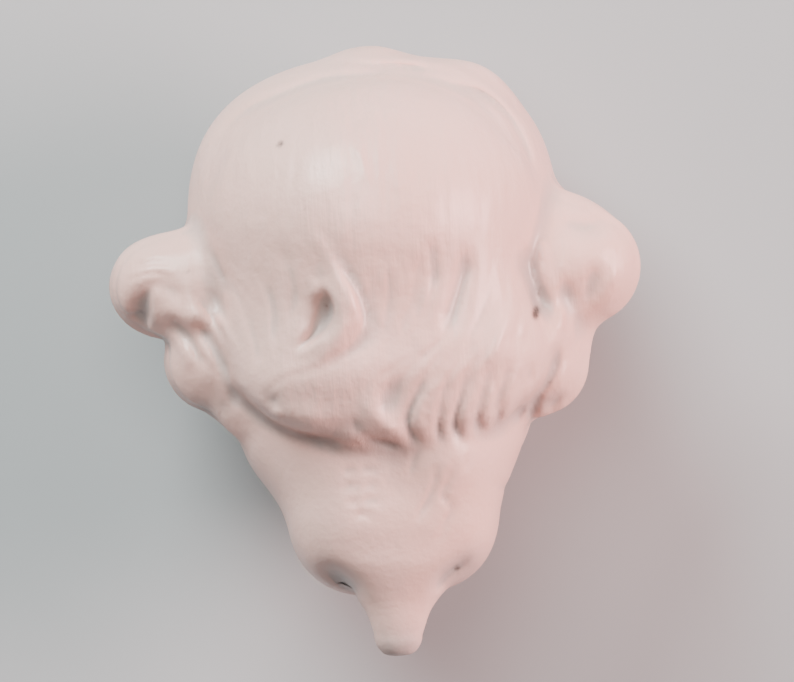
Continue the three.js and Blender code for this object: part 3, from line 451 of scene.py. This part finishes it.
def roll(p, start, end, start_radius, end_radius):
    """A tapered roll with round ends."""
    a = np.array(start, float)
    run = np.array(end, float) - a
    t = np.clip(((p - a) @ run) / (run @ run), 0, 1)
    off = p - a - t[:, None] * run
    return np.sqrt((off * off).sum(1)) - (start_radius + (end_radius - start_radius) * t)


def arched_roll(p):
    """The roll of hair round the crown, thicker halfway down each side."""
    h = HAIR_ROLL
    turn = np.arctan2(p[:, 0] / h["reach_x"], (p[:, 1] - h["y"]) / h["reach_y"])
    angle = np.clip(turn, -ROLL_ENDS, ROLL_ENDS)
    x = h["reach_x"] * np.sin(angle)
    y = h["y"] + h["reach_y"] * np.cos(angle)
    radius = h["radius"] + h["swell"] * np.sin(2 * angle) ** 2
    return np.sqrt((p[:, 0] - x) ** 2 + (p[:, 1] - y) ** 2 + (p[:, 2] - h["z"]) ** 2) - radius


def front_hair(p):
    parting = PARTING["depth"] * np.exp(-((p[:, 0] / PARTING["width"]) ** 2))
    mass = join(rounded(p, *FRONT_HAIR), rounded(mirrored(p), *FRONT_WAVE), BLEND["wave"])
    brow = BROW_LINE["y"] - BROW_LINE["fall"] * (p[:, 0] / BROW_LINE["reach"]) ** 2
    return common(mass + parting, brow - p[:, 1], BLEND["hair_edge"])


def curl_form(p, rear, front, rear_radius, front_radius):
    """A side curl, wound with slanting grooves in front of its rear end."""
    turn = np.arctan2(p[:, 1] - rear[1], p[:, 0] - rear[0])
    in_front = 1 - smoothstep(p[:, 2], rear[2], rear[2] + GROOVE_RUN_IN)
    form = roll(p, rear, front, rear_radius, front_radius)
    for spacing, depth in CURL_GROOVES:
        form = form + depth * in_front * np.cos(2 * np.pi * p[:, 2] / spacing + turn)
    return form


def hair(p):
    n = NAPE_LINE
    nape_line = n["y"] + n["climb"] * (np.abs(p[:, 0] - n["x"]) / n["reach"]) ** n["power"]
    nape = common(rounded(p, *BACK_HAIR), nape_line - p[:, 1], BLEND["hair_edge"])
    form = join(rounded(p, *CRANIUM), nape, BLEND["nape"])
    form = join(form, front_hair(p), BLEND["front"])
    band = join(arched_roll(p), rounded(p, *HAIR_PEAK), BLEND["band"])
    band = join(band, rounded(p, *RIGHT_LOCK), BLEND["band"])
    form = join(form, band, BLEND["hair_roll"])
    form = join(form, rounded(mirrored(p), *CURL_ROOT), BLEND["curl_root"])
    curls = curl_form(p, *CURLS[0])
    for curl in CURLS[1:]:
        curls = join(curls, curl_form(p, *curl), BLEND["curls"])
    return join(form, curls, BLEND["curl_foot"])


def face(p):
    m = mirrored(p)
    form = join(rounded(p, *FOREHEAD), rounded(p, *JAW), BLEND["forehead"])
    form = join(form, rounded(m, *CHEEK), BLEND["cheek"])
    form = join(form, rounded(p, *MUZZLE), BLEND["muzzle"])
    form = join(form, rounded(p, *CHIN), BLEND["chin"])
    form = carve(form, rounded(m, *SOCKET), BLEND["socket"])
    form = join(form, rounded(m, *EYE), BLEND["eye"])
    nose = join(roll(m, *NOSE_RIDGE), rounded(m, *NOSE_WING), BLEND["wing"])
    form = join(form, nose, BLEND["nose"])
    form = join(form, rounded(m, *UPPER_LIP), BLEND["lips"])
    return join(form, rounded(p, *LOWER_LIP), BLEND["lips"])


def neck(p):
    root = TONGUE[0]
    flat = np.column_stack([p[:, 0], p[:, 1], root[2] + (p[:, 2] - root[2]) / TONGUE_FLATNESS])
    stub = join(rounded(p, *NECK), rounded(p, *NECK_FLARE), BLEND["flare"])
    stub = join(stub, rounded(p, *NAPE_RISE), BLEND["nape_rise"])
    return join(stub, roll(flat, *TONGUE) * TONGUE_FLATNESS, BLEND["tongue"])


def bare_form(p):
    """The head without its carving, cut off at the end of the tongue and where it rests."""
    form = join(face(p), neck(p), BLEND["throat"])
    form = join(form, hair(p), BLEND["hairline"])
    form = common(form, TONGUE_END - p[:, 1], BLEND["tongue_end"])
    return common(form, -REST_DEPTH - p[:, 2], BLEND["rest"])


def curve_points(through, spacing):
    """Evenly spaced points along a smooth curve through the given ones."""
    knots = np.array([through[0], *through, through[-1]], float)
    t = np.linspace(0, 1, CURVE_STEPS, endpoint=False)[:, None]
    dense = []
    for p0, p1, p2, p3 in zip(knots, knots[1:], knots[2:], knots[3:]):
        v0, v1 = (p2 - p0) / 2, (p3 - p1) / 2
        cubic = 2 * p1 - 2 * p2 + v0 + v1
        square = 3 * p2 - 3 * p1 - 2 * v0 - v1
        dense.append(cubic * t**3 + square * t**2 + v0 * t + p1)
    dense = np.vstack(dense + [knots[-1:]])
    run = np.concatenate([[0], np.cumsum(np.hypot(*np.diff(dense, axis=0).T))])
    steps = max(2, math.ceil(run[-1] / spacing))
    want = np.linspace(0, run[-1], steps + 1)
    return np.column_stack([np.interp(want, run, dense[:, k]) for k in (0, 1)]), run[-1] / steps


def prepared(stroke):
    """A stroke as a row of soft round dents that starts and ends shallow."""
    width, depth, step, through = stroke
    points, spacing = curve_points(through, DENT_SPACING * width)
    share = np.linspace(0, 1, len(points))
    force = np.minimum(1, END_RISE * np.minimum(share, 1 - share) + END_DEPTH)
    force = force * spacing / (math.sqrt(math.pi) * width)
    along = np.gradient(points, axis=0)
    along /= np.linalg.norm(along, axis=1)[:, None]
    left = np.column_stack([-along[:, 1], along[:, 0]])
    return points, force * depth, (force * step * STEP_FORCE / width)[:, None] * left, width


def fan_strokes(first, last, count, width, depth, step, uneven=0):
    """Strokes spread between the first and the last; uneven shifts and weakens some of them."""
    first, last = np.array(first, float), np.array(last, float)
    chance = np.random.default_rng(count)
    strokes = []
    for i in range(count):
        shift = uneven * chance.uniform(-UNEVEN_SHIFT, UNEVEN_SHIFT, len(first))
        shares = (i + shift[:, None]) / (count - 1)
        force = 1 + uneven * chance.uniform(-UNEVEN_FORCE, UNEVEN_FORCE)
        strokes.append((width, depth * force, step * force, first + (last - first) * shares))
    return strokes


def stroke_depth(place, strokes):
    """How deep prepared strokes go at each place, seen along the depth of the head."""
    total = np.zeros(len(place))
    for points, depths, steps, width in strokes:
        low, high = points.min(0) - DENT_REACH * width, points.max(0) + DENT_REACH * width
        near = np.nonzero(((place > low) & (place < high)).all(1))[0]
        if not len(near):
            continue
        for point, depth, step in zip(points, depths, steps):
            off = place[near] - point
            total[near] += (depth + off @ step) * np.exp(-(off**2).sum(1) / width**2)
    return total


def all_prepared(strokes, fans):
    return [prepared(s) for s in strokes] + [prepared(s) for fan in fans for s in fan_strokes(*fan)]


def mark_strokes():
    """Short bent dashes in place of the mark on the neck."""
    rows = []
    for y, dashes in MARK_ROWS:
        for start, end in dashes:
            middle = (start + end) / 2
            through = [(start, y), (middle, y + MARK_BEND[0]), (end, y + MARK_BEND[1])]
            rows.append((*MARK_STROKE, through))
    return rows


BROAD = [
    (all_prepared(BROAD_STROKES, []), BACK_FADE, 1),
    (all_prepared(FACE_STROKES, FRONT_FANS), FRONT_FADE, -1),
]
FINE = [
    (all_prepared(FINE_STROKES + mark_strokes(), FINE_FANS), BACK_FADE, 1),
    (all_prepared(BAND_STROKES, []), BAND_FADE, 1),
    (all_prepared(FINE_FACE_STROKES, FINE_FRONT_FANS), FRONT_FADE, -1),
]


def carving(p, layers):
    """Depth of the carving; side is 1 for strokes seen from behind and -1 for the front."""
    total = np.zeros(len(p))
    for strokes, fade, side in layers:
        share = smoothstep(p[:, 2], *fade)
        if side < 0:
            share = 1 - share
        near = np.nonzero(share > 0)[0]
        place = p[near, :2] if side > 0 else mirrored(p[near])[:, :2]
        total[near] += share[near] * stroke_depth(place, strokes)
    return total


def head(p, layers):
    """The carved head: below zero inside the porcelain, above zero outside."""
    return bare_form(p) + carving(p, layers)


def grid_lines(low, high, step, fine=(0, 0), fine_step=0):
    """Grid lines from low to high, closer together within the fine stretch."""
    lines = [low]
    while lines[-1] < high:
        in_fine = fine[0] < lines[-1] < fine[1]
        lines.append(lines[-1] + (fine_step if in_fine else step))
    return np.array(lines)


AXES = (
    grid_lines(*GRID_X),
    np.concatenate([grid_lines(*GRID_Y), grid_lines(*GRID_Y_CROWN)]),
    grid_lines(*GRID_Z),
)


def stretched(values, axis, coarse, fine):
    """Values on coarse grid lines, drawn out along one axis to fine grid lines."""
    at = np.clip(np.searchsorted(coarse, fine) - 1, 0, len(coarse) - 2)
    share = (fine - coarse[at]) / (coarse[at + 1] - coarse[at])
    share = share.reshape([-1 if k == axis else 1 for k in range(3)])
    low, high = np.take(values, at, axis), np.take(values, at + 1, axis)
    return low + (high - low) * share


def form_on_grid(axes):
    """The form at all grid points; worked out in full only close to the skin."""
    coarse_axes = [np.linspace(a[0], a[-1], int((a[-1] - a[0]) / COARSE_STEP)) for a in axes]
    corners = np.stack(np.meshgrid(*coarse_axes, indexing="ij"), -1)
    values = head(corners.reshape(-1, 3), BROAD).reshape(corners.shape[:3])
    for k in range(3):
        values = stretched(values, k, coarse_axes[k], axes[k])
    near = np.argwhere(np.abs(values) < NEAR_SKIN)
    points = np.column_stack([axes[k][near[:, k]] for k in range(3)])
    values[tuple(near.T)] = head(points, BROAD)
    return values


def skin_net(values, axes):
    """One point in each cell that the skin crosses and one quad round each crossed grid edge."""
    sums = np.zeros((3, values.size))
    counts = np.zeros(values.size)
    quads = []
    for axis in range(3):
        low = np.take(values, range(values.shape[axis] - 1), axis)
        high = np.take(values, range(1, values.shape[axis]), axis)
        at = np.argwhere((low < 0) != (high < 0))
        a, b = low[tuple(at.T)], high[tuple(at.T)]
        points = np.column_stack([axes[k][at[:, k]] for k in range(3)])
        ends = axes[axis][at[:, axis] + 1]
        points[:, axis] += (ends - points[:, axis]) * a / (a - b)
        ring = []
        for du, dv in ((0, 0), (1, 0), (1, 1), (0, 1)):
            cell = at.copy()
            cell[:, (axis + 1) % 3] -= du
            cell[:, (axis + 2) % 3] -= dv
            cell = np.ravel_multi_index(cell.T, values.shape)
            counts += np.bincount(cell, minlength=values.size)
            for k in range(3):
                sums[k] += np.bincount(cell, points[:, k], minlength=values.size)
            ring.append(cell)
        ring = np.column_stack(ring)
        ring[a > 0] = ring[a > 0][:, ::-1]
        quads.append(ring)
    used = np.nonzero(counts)[0]
    index = np.zeros(values.size, int)
    index[used] = np.arange(len(used))
    return (sums[:, used] / counts[used]).T, index[np.vstack(quads)]


def onto_skin(p, layers, rounds):
    """Points moved along the slope of the form until they lie on its skin."""
    for _ in range(rounds):
        here = head(p, layers)
        slope = np.zeros_like(p)
        for k in range(3):
            ahead = p.copy()
            ahead[:, k] += PROBE
            slope[:, k] = (head(ahead, layers) - here) / PROBE
        steep = (slope**2).sum(1) + TINY
        p = p - (np.clip(here, -LONGEST_MOVE, LONGEST_MOVE) / steep)[:, None] * slope
    return p


def neighbours_mean(values, quads, count):
    """Mean of the values at the corners beside each point."""
    total = np.zeros((count, values.shape[1]))
    number = np.zeros(count)
    for i in range(4):
        for j in (1, 3):
            beside = quads[:, (i + j) % 4]
            number += np.bincount(quads[:, i], minlength=count)
            for k in range(values.shape[1]):
                total[:, k] += np.bincount(quads[:, i], values[beside, k], minlength=count)
    return total / number[:, None]


def point_normals(points, quads):
    """Outward direction of the skin at each point."""
    diagonals = [points[quads[:, i + 2]] - points[quads[:, i]] for i in (0, 1)]
    across = np.cross(*diagonals)
    normals = np.zeros_like(points)
    for i in range(4):
        for k in range(3):
            normals[:, k] += np.bincount(quads[:, i], across[:, k], minlength=len(points))
    return normals / np.maximum(np.linalg.norm(normals, axis=1), TINY)[:, None]


def hollowness(points, quads):
    """How deep each point lies between its surroundings, from 0 on open skin to 1 in a crevice."""
    away = points.copy()
    for _ in range(HOLLOW_ROUNDS):
        away = neighbours_mean(away, quads, len(points))
    depth = ((away - points) * point_normals(points, quads)).sum(1)
    return 1 - np.exp(-np.maximum(depth - HOLLOW_START, 0) / HOLLOW_FULL)


def add_attribute(mesh, name, values):
    attribute = mesh.attributes.new(name, "FLOAT", "POINT")
    attribute.data.foreach_set("value", np.asarray(values, np.float32))


def mark_share(points, spots):
    """Share of a listed mark at each point on the back of the head, from 0 to 1: dirt with painted
    shade for the stains, dark specks for the specks.
    """
    strokes = [prepared((width, strength, 0, through)) for width, strength, through in spots]
    behind = smoothstep(points[:, 2], *MARK_FADE)
    return np.clip(behind * stroke_depth(points[:, :2], strokes), 0, 1)


def head_skin():
    """Points on the skin of the carved head and the quads between them."""
    points, quads = skin_net(form_on_grid(AXES), AXES)
    points = onto_skin(points, BROAD, BROAD_ROUNDS)
    even = neighbours_mean(points, quads, len(points))
    points = onto_skin(points + EVENING * (even - points), BROAD + FINE, FINE_ROUNDS)
    return points, quads


def add_surface_marks(mesh, points, quads):
    """What the material reads at each point: crevices for painted shade, dirt mixed with painted shade,
    specks and hair.
    """
    bare = np.minimum(face(points), neck(points))
    # Hollow share, which sets the painted shade in the crevices
    add_attribute(mesh, "hollow", hollowness(points, quads))
    # Share of dirt mixed with painted shade
    add_attribute(mesh, "stain_and_shade", mark_share(points, STAINS_AND_SHADE))
    add_attribute(mesh, "speck", mark_share(points, SPECKS))
    add_attribute(mesh, "hair", smoothstep(hair(points) - bare, HAIR_EDGE, -HAIR_EDGE))


def head_object():
    """The head as a smooth mesh in the shared frame, in metres."""
    points, quads = head_skin()
    placed = (points + np.array([0, SHIFT_Y, REST_DEPTH])) * MM
    placed[:, 2] = np.maximum(placed[:, 2], 0)
    mesh = bpy.data.meshes.new("porcelain_head")
    mesh.from_pydata(placed.tolist(), [], quads.tolist())
    mesh.polygons.foreach_set("use_smooth", np.ones(len(mesh.polygons), bool))
    add_surface_marks(mesh, points, quads)
    obj = bpy.data.objects.new("porcelain_head", mesh)
    bpy.context.scene.collection.objects.link(obj)
    print("porcelain_head:", len(points), "points", 2 * len(quads), "triangles")
    return obj


# Colours of the materials
PORCELAIN_TONES = ((0.89, 0.535, 0.465, 1), (0.91, 0.58, 0.515, 1))
# Painted shade: grey laid into the crevices by their hollow share, with some dirt
CREVICE_SHADE_TONE = (0.33, 0.365, 0.365, 1)
# Dirt and painted shade: dark grey laid on the stain marks, darkest in the shaded creases beside the
# tongue
DIRT_AND_SHADE_TONE = (0.32, 0.335, 0.33, 1)
SPECK_TONE = (0.02, 0.013, 0.01, 1)
FLOOR_TONES = ((0.40, 0.44, 0.46, 1), (0.42, 0.46, 0.48, 1))

# Fineness of the noises, per metre
CLOUDS = 90
DIRT_AND_SHADE_NOISE = 330
WEAR = 500
COMB_PATCHES = 260
COMB = 1300
RIPPLE = 700
FINE_RIPPLE = 2200
FLOOR_SPOTS = 30

# Relief of the glaze: stretch of the combed streaks, shares of its parts and height in metres
COMB_STRETCH = (1.0, 0.09, 0.5)
FINE_RIPPLE_SHARE = 0.6
COMB_SHARE = 2.4
RIPPLE_SHARE = 0.8
BUMP_STRENGTH = 0.9
BUMP_HEIGHT = 0.00008
SPECK_COVER = 0.97
STAIN_AND_SHADE_DULLNESS = 0.3


class Nodes:
    """Short calls for building a material's node tree."""

    def __init__(self, name):
        self.material = bpy.data.materials.new(name)
        self.material.use_nodes = True
        self.tree = self.material.node_tree
        self.tree.nodes.clear()

    def add(self, kind, inputs=None, **settings):
        node = self.tree.nodes.new(kind)
        for key, value in settings.items():
            setattr(node, key, value)
        for key, value in (inputs or {}).items():
            if isinstance(value, bpy.types.NodeSocket):
                self.tree.links.new(value, node.inputs[key])
            else:
                node.inputs[key].default_value = value
        return node

    def attribute(self, name):
        return self.add("ShaderNodeAttribute", attribute_name=name).outputs["Fac"]

    def noise(self, vector, scale, detail=3.0, roughness=0.5):
        inputs = {"Vector": vector, "Scale": scale, "Detail": detail, "Roughness": roughness}
        return self.add("ShaderNodeTexNoise", inputs).outputs["Fac"]

    def math(self, operation, a, b=0.0, clamp=False):
        return self.add("ShaderNodeMath", {0: a, 1: b}, operation=operation, use_clamp=clamp).outputs[0]

    def ramp(self, value, low, high, to_low=0.0, to_high=1.0):
        inputs = {"Value": value, "From Min": low, "From Max": high}
        inputs.update({"To Min": to_low, "To Max": to_high})
        return self.add("ShaderNodeMapRange", inputs).outputs[0]

    def mix(self, share, a, b):
        return self.add("ShaderNodeMix", {0: share, 6: a, 7: b}, data_type="RGBA").outputs[2]

    def finish(self, shader):
        self.add("ShaderNodeOutputMaterial", {"Surface": shader.outputs[0]})
        return self.material


def porcelain_colour(n, place, dirt_and_shade_noise, stain_and_shade):
    """Warm cloudy glaze, greyer in the crevices as painted shade with some dirt, uneven brown dirt
    mixed with painted shade, and dark specks.
    """
    clouds = n.ramp(n.noise(place, CLOUDS, 4), 0.35, 0.65)
    colour = n.mix(clouds, *PORCELAIN_TONES)
    # Painted shade: crevices darkened towards the crevice tone, made patchy by the dirt noise
    hollow = n.math("MULTIPLY", n.attribute("hollow"), n.ramp(dirt_and_shade_noise, 0.3, 0.7, 0.45, 0.75))
    colour = n.mix(hollow, colour, CREVICE_SHADE_TONE)
    colour = n.mix(stain_and_shade, colour, DIRT_AND_SHADE_TONE)
    return n.mix(n.math("MULTIPLY", n.attribute("speck"), SPECK_COVER), colour, SPECK_TONE)


def porcelain_roughness(n, place, stain_and_shade):
    """Uneven shine of the glaze, duller where the dirt and painted shade lie on it."""
    worn = n.ramp(n.noise(place, WEAR, 4), 0.3, 0.7, 0.4, 0.55)
    return n.math("ADD", worn, n.math("MULTIPLY", stain_and_shade, STAIN_AND_SHADE_DULLNESS), clamp=True)


def porcelain_relief(n, place):
    """Fine unevenness of the glaze, combed lengthwise in patches where the hair is."""
    streaks = n.add("ShaderNodeMapping", {"Vector": place, "Scale": COMB_STRETCH}).outputs[0]
    patches = n.ramp(n.noise(place, COMB_PATCHES, 2), 0.4, 0.6, 0.3, 1.0)
    combed = n.math("MULTIPLY", n.noise(streaks, COMB, 3), patches)
    combed = n.math("MULTIPLY", combed, n.attribute("hair"))
    fine = n.math("MULTIPLY", n.noise(place, FINE_RIPPLE, 3), FINE_RIPPLE_SHARE)
    ripple = n.math("MULTIPLY", n.math("ADD", n.noise(place, RIPPLE, 3), fine), RIPPLE_SHARE)
    height = n.math("ADD", n.math("MULTIPLY", combed, COMB_SHARE), ripple)
    inputs = {"Height": height, "Strength": BUMP_STRENGTH, "Distance": BUMP_HEIGHT}
    return n.add("ShaderNodeBump", inputs).outputs[0]


def porcelain_material():
    n = Nodes("glazed_porcelain")
    place = n.add("ShaderNodeTexCoord").outputs["Object"]
    dirt_and_shade_noise = n.noise(place, DIRT_AND_SHADE_NOISE, 4, 0.6)
    # Dirt and painted shade in the crevices, made patchy by the noise
    stain_and_shade = n.math("MULTIPLY", n.attribute("stain_and_shade"), n.ramp(dirt_and_shade_noise, 0.3, 0.7, 0.5, 0.8))
    shader = n.add(
        "ShaderNodeBsdfPrincipled",
        {
            "Base Color": porcelain_colour(n, place, dirt_and_shade_noise, stain_and_shade),
            "Roughness": porcelain_roughness(n, place, stain_and_shade),
            "Normal": porcelain_relief(n, place),
            "Subsurface Weight": 0.05,
            "Subsurface Radius": (1.0, 0.8, 0.7),
            "Subsurface Scale": 0.0008,
            "Coat Weight": 0.38,
            "Coat Roughness": 0.24,
            "IOR": 1.5,
        },
    )
    return n.finish(shader)


def floor_material():
    n = Nodes("pale_floor")
    place = n.add("ShaderNodeTexCoord").outputs["Object"]
    tone = n.mix(n.ramp(n.noise(place, FLOOR_SPOTS, 3), 0.3, 0.7), *FLOOR_TONES)
    shader = n.add("ShaderNodeBsdfPrincipled", {"Base Color": tone, "Roughness": 0.85})
    return n.finish(shader)


# Camera: width and scale of the photo, the lean of the head in it, and the place in its middle
PHOTO_WIDTH = 794
MM_PER_PIXEL = 0.066
LEAN = math.radians(3.5)
VIEW_CENTRE = Vector((1.09, -2.78 + SHIFT_Y, 13.0)) * MM
CAMERA_DISTANCE = 1.5
SENSOR_WIDTH = 36

# Floor and lights, in metres: place, width, power and colour of each lamp
FLOOR_HALF = 2.5
AIM = Vector((0, 0, 0.013))
LAMPS = {
    "key": ((0.42, 0.02, 0.21), 0.30, 5.2, (1.0, 0.65, 0.62)),
    "top": ((-0.17, 0.36, 0.26), 0.27, 4.1, (0.95, 1.0, 0.97)),
    "front": ((-0.05, 0.12, 0.44), 0.24, 1.15, (1.0, 0.90, 0.86)),
}
WORLD_COLOUR = (1.0, 0.97, 0.96, 1)
WORLD_STRENGTH = 0.05


def add_camera():
    data = bpy.data.cameras.new("camera")
    data.sensor_width = SENSOR_WIDTH
    data.lens = SENSOR_WIDTH * CAMERA_DISTANCE / (PHOTO_WIDTH * MM_PER_PIXEL * MM)
    data.clip_start = 0.01
    data.clip_end = 10
    camera = bpy.data.objects.new("camera", data)
    camera.location = VIEW_CENTRE + Vector((0, 0, CAMERA_DISTANCE))
    camera.rotation_euler = Euler((0, 0, -LEAN))
    bpy.context.scene.collection.objects.link(camera)
    bpy.context.scene.camera = camera


def add_floor():
    mesh = bpy.data.meshes.new("floor")
    half = FLOOR_HALF
    corners = [(-half, -half, 0), (half, -half, 0), (half, half, 0), (-half, half, 0)]
    mesh.from_pydata(corners, [], [(0, 1, 2, 3)])
    floor = bpy.data.objects.new("floor", mesh)
    bpy.context.scene.collection.objects.link(floor)
    mesh.materials.append(floor_material())


def add_lamp(name, location, size, power, colour):
    data = bpy.data.lights.new(name, "AREA")
    data.shape = "DISK"
    data.size = size
    data.energy = power
    data.color = colour
    lamp = bpy.data.objects.new(name, data)
    lamp.location = location
    lamp.rotation_euler = (AIM - Vector(location)).to_track_quat("-Z", "Y").to_euler()
    bpy.context.scene.collection.objects.link(lamp)


def add_world():
    world = bpy.data.worlds.new("studio")
    world.use_nodes = True
    background = world.node_tree.nodes["Background"]
    background.inputs["Color"].default_value = WORLD_COLOUR
    background.inputs["Strength"].default_value = WORLD_STRENGTH
    bpy.context.scene.world = world


add_camera()
add_floor()
for lamp_name, lamp in LAMPS.items():
    add_lamp(lamp_name, *lamp)
add_world()

porcelain_head = head_object()
porcelain_head.data.materials.append(porcelain_material())
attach(porcelain_head, "root")
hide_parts("doll_head")
